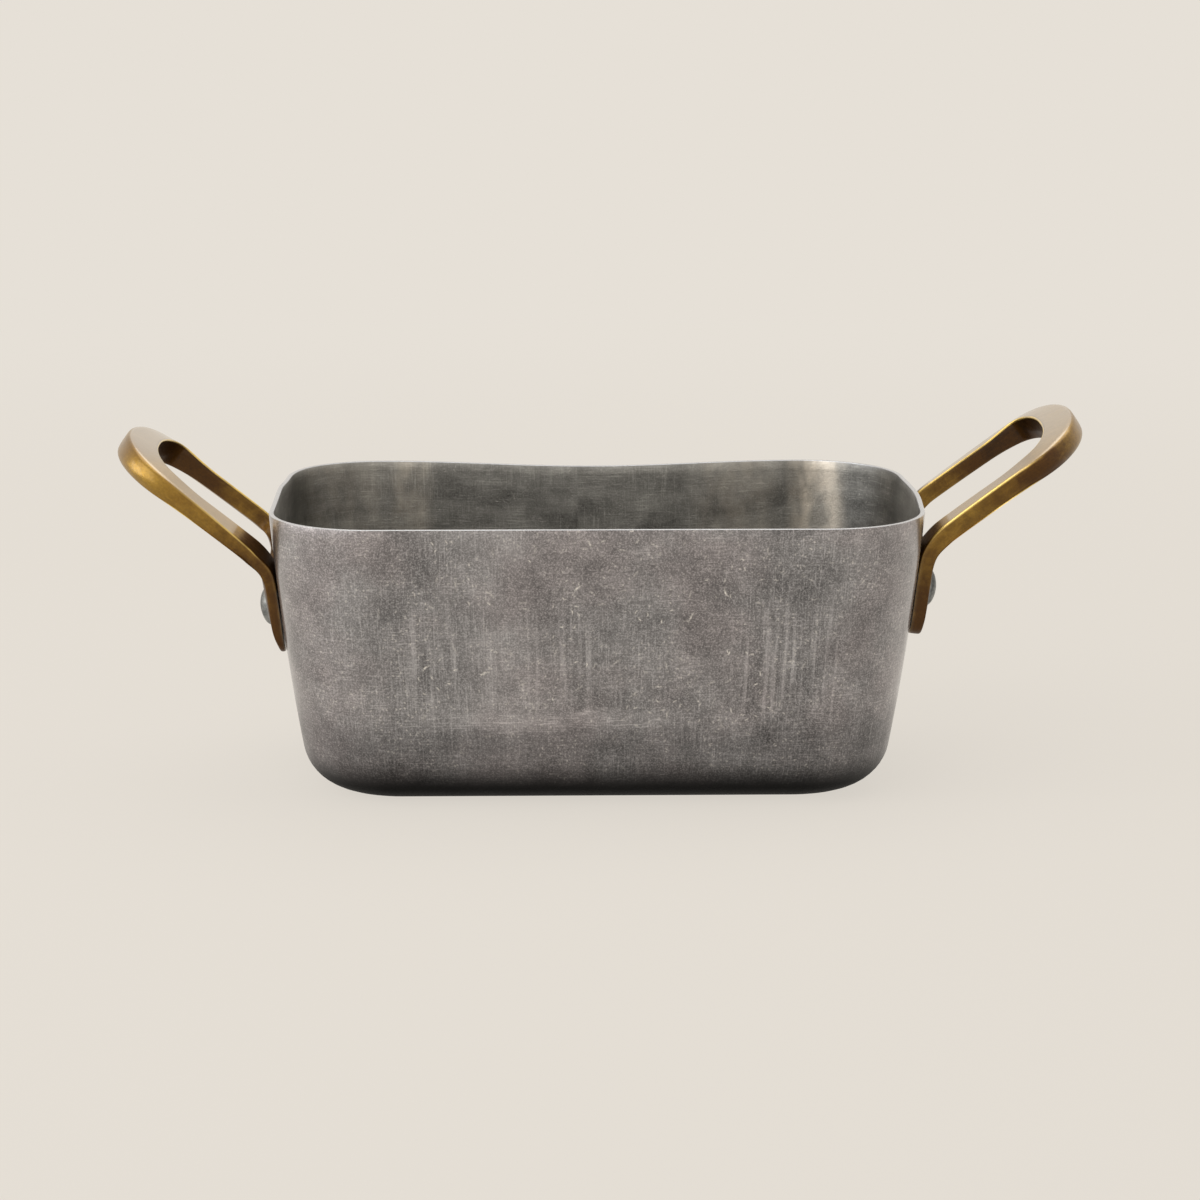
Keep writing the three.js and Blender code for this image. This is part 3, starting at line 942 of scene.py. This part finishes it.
def makeHandle(side):
    own = handles[side]
    outer, hole, length = handleOutlines(own)
    clearPick()
    bpy.ops.mesh.primitive_circle_add(vertices=len(outer), radius=0.02)
    loop = editPiece(side + "Loop")
    shape = bmesh.from_edit_mesh(loop.data)
    shape.verts.layers.float.new("across")
    for vert, (x, y) in zip(shape.verts, outer):
        vert.co = (x * mm, y * mm, 0)
    bmesh.update_edit_mesh(loop.data)

    # the outline is pulled in to the finger hole and given the casting's thickness
    bpy.ops.mesh.select_all(action="SELECT")
    bpy.ops.mesh.extrude_edges_move()
    shape = bmesh.from_edit_mesh(loop.data)
    across = shape.verts.layers.float["across"]
    for vert, (x, y) in zip([vert for vert in shape.verts if vert.select], hole):
        vert.co = (x * mm, y * mm, 0)
        vert[across] = 1
    bmesh.update_edit_mesh(loop.data)
    leaveEdit()
    useModifier(loop, "SOLIDIFY", thickness=mm, offset=-1)
    for vert in loop.data.vertices:
        vert.co.z = -abs(vert.co.z) * sideLine(vert.co.y / mm, own)[3]
    bpy.ops.object.mode_set(mode="EDIT")
    pickParts(loop, "EDGE", lambda edge: abs(edge.verts[0].co.z - edge.verts[1].co.z) > mm)
    bpy.ops.mesh.subdivide(number_cuts=1)
    faceOut()
    leaveEdit()

    # edges eased by hand: crisp along the legs, softer round the tip
    shape = bmesh.new()
    shape.from_mesh(loop.data)
    weight = shape.edges.layers.float.new("bevel_weight_edge")
    across = shape.verts.layers.float["across"]
    widest = max(own["softTip"], *handleSet["edges"].values())
    for edge in shape.edges:
        if edge.calc_face_angle() > math.radians(sharpAngle):
            along = sum(vert.co.y for vert in edge.verts) / 2 / mm
            low = max(vert.co.z for vert in edge.verts) < -0.5 * mm
            ring = "hole" if edge.verts[0][across] > 0.5 else "outer"
            ease = handleSet["edges"][ring + ("Low" if low else "Top")]
            if ring == "outer" and not low:
                ease = mix(ease, own["softTip"], tipShare(along, length, "softZone"))
            if ring == "outer" and low:
                ease = mix(handleSet["footEdge"], ease, smoothStep(along, tabHeight + 12, length - 16))
            edge[weight] = ease / widest
    shape.to_mesh(loop.data)
    shape.free()
    useModifier(loop, "BEVEL", width=widest * mm, segments=3, limit_method="WEIGHT",
                use_clamp_overlap=False)

    # rings between outline and hole, so that the flat casting can be bent to its side line
    bpy.ops.object.mode_set(mode="EDIT")
    shape = bmesh.from_edit_mesh(loop.data)
    across = shape.verts.layers.float["across"]
    pickParts(loop, "EDGE", lambda edge: abs(edge.verts[0][across] - edge.verts[1][across]) > 0.5)
    bpy.ops.mesh.subdivide(number_cuts=handleSet["spokeCuts"])
    leaveEdit()
    flat = np.zeros(len(loop.data.vertices) * 3)
    loop.data.vertices.foreach_get("co", flat)
    flat = flat.reshape(-1, 3) / mm
    x, z, heading, thickness = sideLine(flat[:, 1], own)
    along, depth, ring = flat[:, 1].copy(), -flat[:, 2], pointValues(loop, "across")
    keepPoints(loop, "along", along)
    keepPoints(loop, "depth", depth)

    # outer side: swollen round the tip, with its lower half filed back a little
    down = depth / thickness
    inward = np.array((0, length - handleSet["tipLength"] - 6)) - flat[:, :2]
    inward[:, 1] = np.minimum(inward[:, 1], 0)
    inward /= np.maximum(np.linalg.norm(inward, axis=1), 1e-6)[:, None]
    filed = handleSet["filed"] * smoothStep(down, 0.45, 1.0)
    filed *= smoothStep(along, tabHeight - 4, tabHeight + 8)
    swollen = handleSet["barrel"] * 4 * down * (1 - down) * tipShare(along, length, "barrelZone")
    flat[:, :2] += inward * ((filed - swollen) * (ring < 0.01))[:, None]

    # upper face tilted outwards along the legs and at the tip, underside rising towards the hole
    beside = np.clip((tabHeight + handleSet["shoulderEnd"] - along) / handleSet["shoulderFade"], 0, 1)
    beside *= smoothStep(along, tabHeight - 1, tabHeight + 7)
    midLeg = smoothStep(along, tabHeight - 4, tabHeight + 4) * (1 - tipShare(along, length, "midZone"))
    depth = depth + own["shoulder"] * beside * (1 - ring) * (1 - down)
    depth -= handleSet["crown"] * tipShare(along, length, "crownZone") * ring * (1 - down)
    depth -= handleSet["underRise"] * midLeg * ring * down
    bent = np.stack([x + depth * np.sin(heading), flat[:, 0], z - depth * np.cos(heading)], axis=1)
    loop.data.vertices.foreach_set("co", (bent * mm).ravel())
    loop.data.update()
    useModifier(loop, "SUBSURF", levels=1, render_levels=1)
    return loop


# Masks that the brass reads: laid-out place, patina with painted shade, dullness, which keeps the painted
# sheen off, and edge curve
def maskHandle(loop, side):
    own = handles[side]
    along, ring = pointValues(loop, "along"), pointValues(loop, "across")
    length = along.max()
    stops = [0, rivetRise, tabHeight + 6, tabHeight + 22, length - 10, length]
    stain = np.interp(along, stops, own["stain"])
    # painted shade in the finger hole, lighter near the pan and darkest at the tip
    holeShade = mix(*own["inner"], smoothStep(along, tabHeight + 8, length - 18))
    holeShade = holeShade * smoothStep(ring, 0.86, 0.98)
    depth = pointValues(loop, "depth")
    lower = smoothStep(depth / sideLine(along, own)[3], 0.3, 0.7)
    upper = 1 - smoothStep(depth, 0.1, 0.5)
    reach, dark = own["shade"]
    # painted shade on the upper face at the bend beside the pan
    bend = upper * smoothStep(along, tabHeight - 4, tabHeight)
    bend *= 1 - smoothStep(along, reach - 2, reach + 3)
    atTip = smoothStep(along, length - 14, length - 3)
    # dullness keeps the painted sheen off the sides and the shaded bend
    keepPoints(loop, "dull", np.maximum(bend, (1 - upper) * mix(0.8, 0.5, atTip * (1 - holeShade))))
    patinaAndShade = np.maximum(stain * mix(1, 0.4, upper), holeShade)
    keepPoints(loop, "patinaAndShade", np.maximum(patinaAndShade, bend * dark))
    rub = own["rub"] * mix(1, 0.45, lower) * mix(0.05, 1, smoothStep(along, tabHeight, tabHeight + 10))
    keepPoints(loop, "curve", edgeCurve(loop) * rub)  # under edges and the tab's rubbed less
    places = np.array([vert.co for vert in loop.data.vertices])
    laid = loop.data.attributes.new("laid", "FLOAT_VECTOR", "POINT")
    flat = np.stack([places[:, 1], along * mm, depth * mm], axis=1)
    laid.data.foreach_set("vector", flat.astype(np.float32).ravel())


# How far an end wall has curved away at a distance from its middle
def wallFall(z, across):
    inset = wallInset(z)
    radius = panSet["rimCorner"] - (panSet["rimCorner"] - panSet["baseCorner"]) * inset / panLevels()[-1][0]
    past = max(0, across - (panSet["rimWidth"] / 2 - inset - radius))
    return radius - math.sqrt(radius ** 2 - min(past, radius) ** 2)


def drillHoles(piece, places):
    radius = rivetSet["shank"] / 2 + handleSet["clearance"]
    for place in places:
        clearPick()
        bpy.ops.mesh.primitive_cylinder_add(vertices=rivetSet["round"], radius=radius * mm,
                                            depth=rivetSet["drill"] * mm)
        cutter = bpy.context.object
        cutter.data.transform(place @ Matrix.Rotation(math.pi / 2, 4, "Y"))
        useModifier(piece, "BOOLEAN", object=cutter, operation="DIFFERENCE", solver="EXACT")
        bpy.data.objects.remove(cutter)


# Rivet along Z: shank, then a domed head pulled out of each end
def makeRivet(name, side, number):
    own = handles[side]
    head, shank = rivetSet["head"] / 2, rivetSet["shank"] / 2
    low = -panSet["sheet"] - handleSet["clearance"]
    low -= wallFall(panSet["height"] - own["drop"], rivetAcross + head)
    high = 2 * handleSet["clearance"] + own["tab"]
    clearPick()
    bpy.ops.mesh.primitive_cylinder_add(vertices=rivetSet["round"], radius=shank * mm,
                                        depth=(high - low) * mm, location=(0, 0, (high + low) / 2 * mm))
    bpy.ops.object.transform_apply(location=True, rotation=False, scale=False)
    rivet = editPiece(name)
    step = math.pi / 2 / rivetSet["rows"]
    for level, dome, way in ((high, rivetSet["outerDome"], 1), (low, rivetSet["innerDome"], -1)):
        pickParts(rivet, "FACE", lambda face: abs(face.calc_center_median().z - level * mm) < 0.01 * mm
                  and abs(face.normal.z) > 0.9)
        wide = shank
        for row in range(rivetSet["rows"]):
            reach = head * math.cos(row * step)
            lift = way * dome * (math.sin(row * step) - math.sin(max(0, row - 1) * step))
            bpy.ops.mesh.extrude_region_move(TRANSFORM_OT_translate={"value": (0, 0, lift * mm)})
            bpy.ops.transform.resize(value=(reach / wide, reach / wide, 1), center_override=(0, 0, 0))
            wide = reach
        lift, narrow = way * dome * rivetSet["crown"], rivetSet["crownWidth"]
        bpy.ops.mesh.extrude_region_move(TRANSFORM_OT_translate={"value": (0, 0, lift * mm)})
        bpy.ops.transform.resize(value=(narrow, narrow, 1), center_override=(0, 0, 0))

    # struck by hand, so no head is quite round or even
    shape = bmesh.from_edit_mesh(rivet.data)
    for vert in shape.verts:
        away = Vector((vert.co.x, vert.co.y, 0))
        if away.length > shank * 1.05 * mm:
            uneven = noise.noise(away.normalized() * 1.3 + Vector((0, 0, number * 7.7)))
            vert.co -= away * rivetSet["uneven"] * (0.5 + 0.5 * uneven)
    bmesh.update_edit_mesh(rivet.data)
    faceOut()
    sharp = math.radians(sharpAngle)
    pickParts(rivet, "EDGE", lambda edge: edge.is_manifold and edge.calc_face_angle() > sharp
              and all(math.hypot(vert.co.x, vert.co.y) > head * 0.8 * mm for vert in edge.verts))
    bpy.ops.mesh.bevel(offset=rivetSet["edge"] * mm, segments=2, affect="EDGES")
    leaveEdit()
    useModifier(rivet, "SUBSURF", levels=1, render_levels=1)
    across = rivetAcross if (side == "left") == name.endswith("Front") else -rivetAcross
    spot = handlePlace(side) @ Matrix.Translation(Vector((0, across, 0)) * mm)
    rivet.data.transform(spot @ Matrix.Rotation(math.pi / 2, 4, "Y"))
    keepPoints(rivet, "curve", edgeCurve(rivet))
    return rivet


pan = makePan()
print("pan modelled with", len(pan.data.polygons), "faces")
rivetSpots = [Matrix.Translation(Vector((0, across, 0)) * mm) for across in (rivetAcross, -rivetAcross)]
drillHoles(pan, [handlePlace(side) @ spot for side in handles for spot in rivetSpots])
finishPiece(pan, "pan_body", steel)
print("pan drilled and finished")

for side in handles:
    loop = makeHandle(side)
    drillHoles(loop, rivetSpots)
    maskHandle(loop, side)
    loop.data.transform(handlePlace(side))
    finishPiece(loop, side + "_handle", brass)
    print(side, "handle finished with", len(loop.data.polygons), "faces")

for number, (side, end) in enumerate([(side, end) for side in handles for end in ("Front", "Rear")]):
    rivet = makeRivet("rivet" + side.capitalize() + end, side, number)
    finishPiece(rivet, "rivet_" + side + "_" + end.lower(), rivetSteel)
print("rivets finished")


# Plain pale studio
studioSet = {
    "backdrop": tone(230, 224, 215),
    "floorSize": 12,
    "floorGap": 0.0002,
    "floorShow": 0.82,  # share of the backdrop colour that camera and mirror rays see on the floor
    "floorFade": (0.25, 0.8),  # distances over which that share grows to the whole
    "fill": 0.55,  # strength of the world's light on the object
    "aim": (0, 0, 0.04),
    "lamps": {
        "softLeft": {"place": (-0.95, -0.8, 0.7), "size": 1.5, "power": 9},
        "softTop": {"place": (0.15, 0.35, 1.2), "size": 1.2, "power": 5},
        "softSide": {"place": (-1.1, -0.1, 0.3), "size": 0.7, "power": 3},
    },
}


def addSeen(net):
    path = net.add("LightPath").outputs
    seen = net.math("MAXIMUM", path["Is Camera Ray"], path["Is Glossy Ray"])
    return net.math("MAXIMUM", seen, path["Is Transmission Ray"])


def makeStudio():
    clearPick()
    bpy.ops.mesh.primitive_plane_add(size=studioSet["floorSize"])
    floor = bpy.context.object
    floor.name = "studioFloor"
    floor.data.transform(Matrix.Translation((0, 0, -studioSet["floorGap"])))
    material = bpy.data.materials.new("paleFloor")
    material.use_nodes = True
    net = Net(material.node_tree)
    shader = net.tree.nodes["Principled BSDF"]
    shader.inputs["Base Color"].default_value = studioSet["backdrop"]
    shader.inputs["Roughness"].default_value = 0.9
    glow = net.add("Emission")
    glow.inputs["Color"].default_value = studioSet["backdrop"]
    away = net.add("VectorMath", operation="LENGTH")
    feed(away.inputs[0], net.add("TexCoord").outputs["Object"])
    show = net.range(away.outputs["Value"], *studioSet["floorFade"], studioSet["floorShow"], 1.0)
    blend = net.add("MixShader")
    feed(blend.inputs[0], net.times(addSeen(net), show))
    feed(blend.inputs[1], shader.outputs[0])
    feed(blend.inputs[2], glow.outputs[0])
    feed(net.tree.nodes["Material Output"].inputs["Surface"], blend.outputs[0])
    floor.data.materials.append(material)

    world = bpy.data.worlds.new("studio")
    world.use_nodes = True
    net = Net(world.node_tree)
    sky = net.tree.nodes["Background"]
    sky.inputs["Color"].default_value = studioSet["backdrop"]
    feed(sky.inputs["Strength"], net.range(addSeen(net), 0.0, 1.0, studioSet["fill"], 1.0))
    bpy.context.scene.world = world

    for name, lamp in studioSet["lamps"].items():
        bpy.ops.object.light_add(type="AREA", location=lamp["place"])
        light = bpy.context.object
        light.name = name
        light.data.size = lamp["size"]
        light.data.energy = lamp["power"]
        light.rotation_mode = "QUATERNION"
        light.rotation_quaternion = (Vector(studioSet["aim"]) - light.location).to_track_quat("-Z", "Y")
    bpy.context.scene.view_settings.view_transform = "Standard"


makeStudio()
print("studio ready")

bpy.context.view_layer.update()
